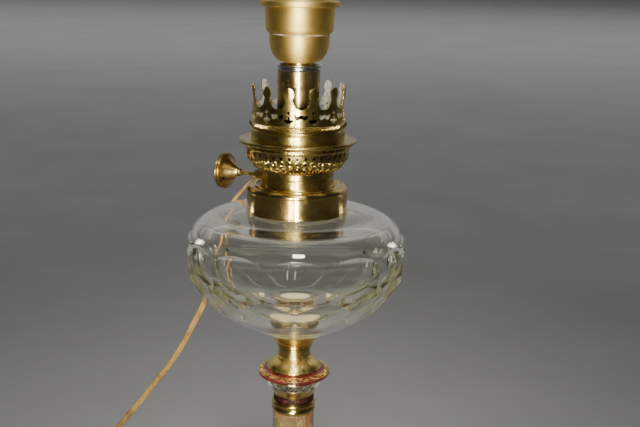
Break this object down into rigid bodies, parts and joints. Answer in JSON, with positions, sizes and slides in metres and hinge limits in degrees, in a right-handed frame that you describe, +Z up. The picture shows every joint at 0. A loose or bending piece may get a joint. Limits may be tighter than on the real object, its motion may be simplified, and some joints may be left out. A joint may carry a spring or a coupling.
{
  "type": "table lamp",
  "caption": "Tall column oil lamp: banded stone column, cut-glass font, pierced brass burner with a winder knob, electric lampholder on the wick tube and a flat cord.",
  "frame": {"origin": "centre of the base on the surface the lamp stands on", "axes": "+Z up along the column, -Y towards the front, +X to the viewer's right; the winder knob is on the left"},
  "size_m": [0.3182, 0.1891, 0.4445],
  "materials": {
    "onyx_green": "polished banded onyx",
    "brass_old": "polished old brass with dark tarnish",
    "brass_burner": "aged burner brass",
    "brass_bright": "clean spun brass",
    "brass_satin": "satin lacquered gold",
    "brass_dull": "dull inner brass",
    "silvered": "worn silvered scrollwork",
    "nickel": "nickel plate",
    "steel_zinc": "zinc-plated steel",
    "enamel_red": "red champleve enamel with gilt scrolls",
    "enamel_dark": "dark red enamel",
    "glass_clear": "clear cut glass, slight green tint",
    "plaster": "cream plaster",
    "porcelain": "cream porcelain",
    "felt": "green felt",
    "flex_gold": "translucent gold twin flex",
    "brown_plastic": "brown moulded plastic",
    "black_plastic": "black moulded plastic",
    "tie_white": "white wire tie"
  },
  "bodies": {
    "root": {"felt_pads": "felt", "brass_feet": "brass_old", "plinth_slab": "onyx_green", "plinth_band": "brass_old", "step_slab": "onyx_green", "rod_nut_lower": "steel_zinc", "lower_enamel_ring": "enamel_red", "lower_torus_ring": "brass_old", "onyx_column": "onyx_green", "tie_rod": "steel_zinc", "capital_torus_ring": "brass_old", "red_band": "enamel_dark", "capital_cone": "brass_old", "scroll_ring": "silvered", "enamel_ring": "enamel_red", "domed_disc": "brass_bright", "stem_spool": "brass_bright", "font_cup": "brass_bright", "rod_nut_upper": "steel_zinc", "plaster_bed": "plaster", "glass_font": "glass_clear", "collar_cement": "plaster", "font_collar": "brass_old", "burner_neck": "brass_burner", "pierced_bowl": "brass_burner", "basket_dish": "brass_burner", "burner_deck": "brass_dull", "gallery_band": "brass_burner", "chimney_gallery": "brass_burner", "outer_wick_tube": "brass_dull", "inner_draught_tube": "brass_dull", "wick_tube_rim": "nickel", "holder_adapter": "brass_bright", "winder_bushing": "brass_burner", "holder_nipple": "steel_zinc", "nipple_nut": "steel_zinc", "holder_cap": "brass_satin", "holder_shell": "brass_satin", "holder_insulator": "porcelain", "screw_shell": "brass_bright", "centre_contact": "brass_bright", "terminal_screws": "steel_zinc", "cord_strain_relief": "brown_plastic", "cord_hanging": "flex_gold", "switch_base": "brown_plastic", "switch_cover": "brown_plastic", "cord_coil": "flex_gold", "cord_tie": "tie_white", "cord_tail": "flex_gold", "plug_body": "brown_plastic", "plug_pins": "nickel"},
    "winder": {"winder_shaft": "brass_burner", "winder_cogs": "brass_dull", "winder_knob": "brass_old"},
    "rocker": {"switch_rocker": "black_plastic"}
  },
  "joints": [
    {"name": "winder_turn", "type": "hinge", "parent": "root", "child": "winder", "pos_m": [-0.03306, 0.00172, 0.344], "axis": [-0.8829, 0.4695, 0], "continuous": true},
    {"name": "switch_rock", "type": "hinge", "parent": "root", "child": "rocker", "pos_m": [-0.243, 0.062, 0.0135], "axis": [1, 0, 0], "range_deg": [-14, 0]}
  ]
}
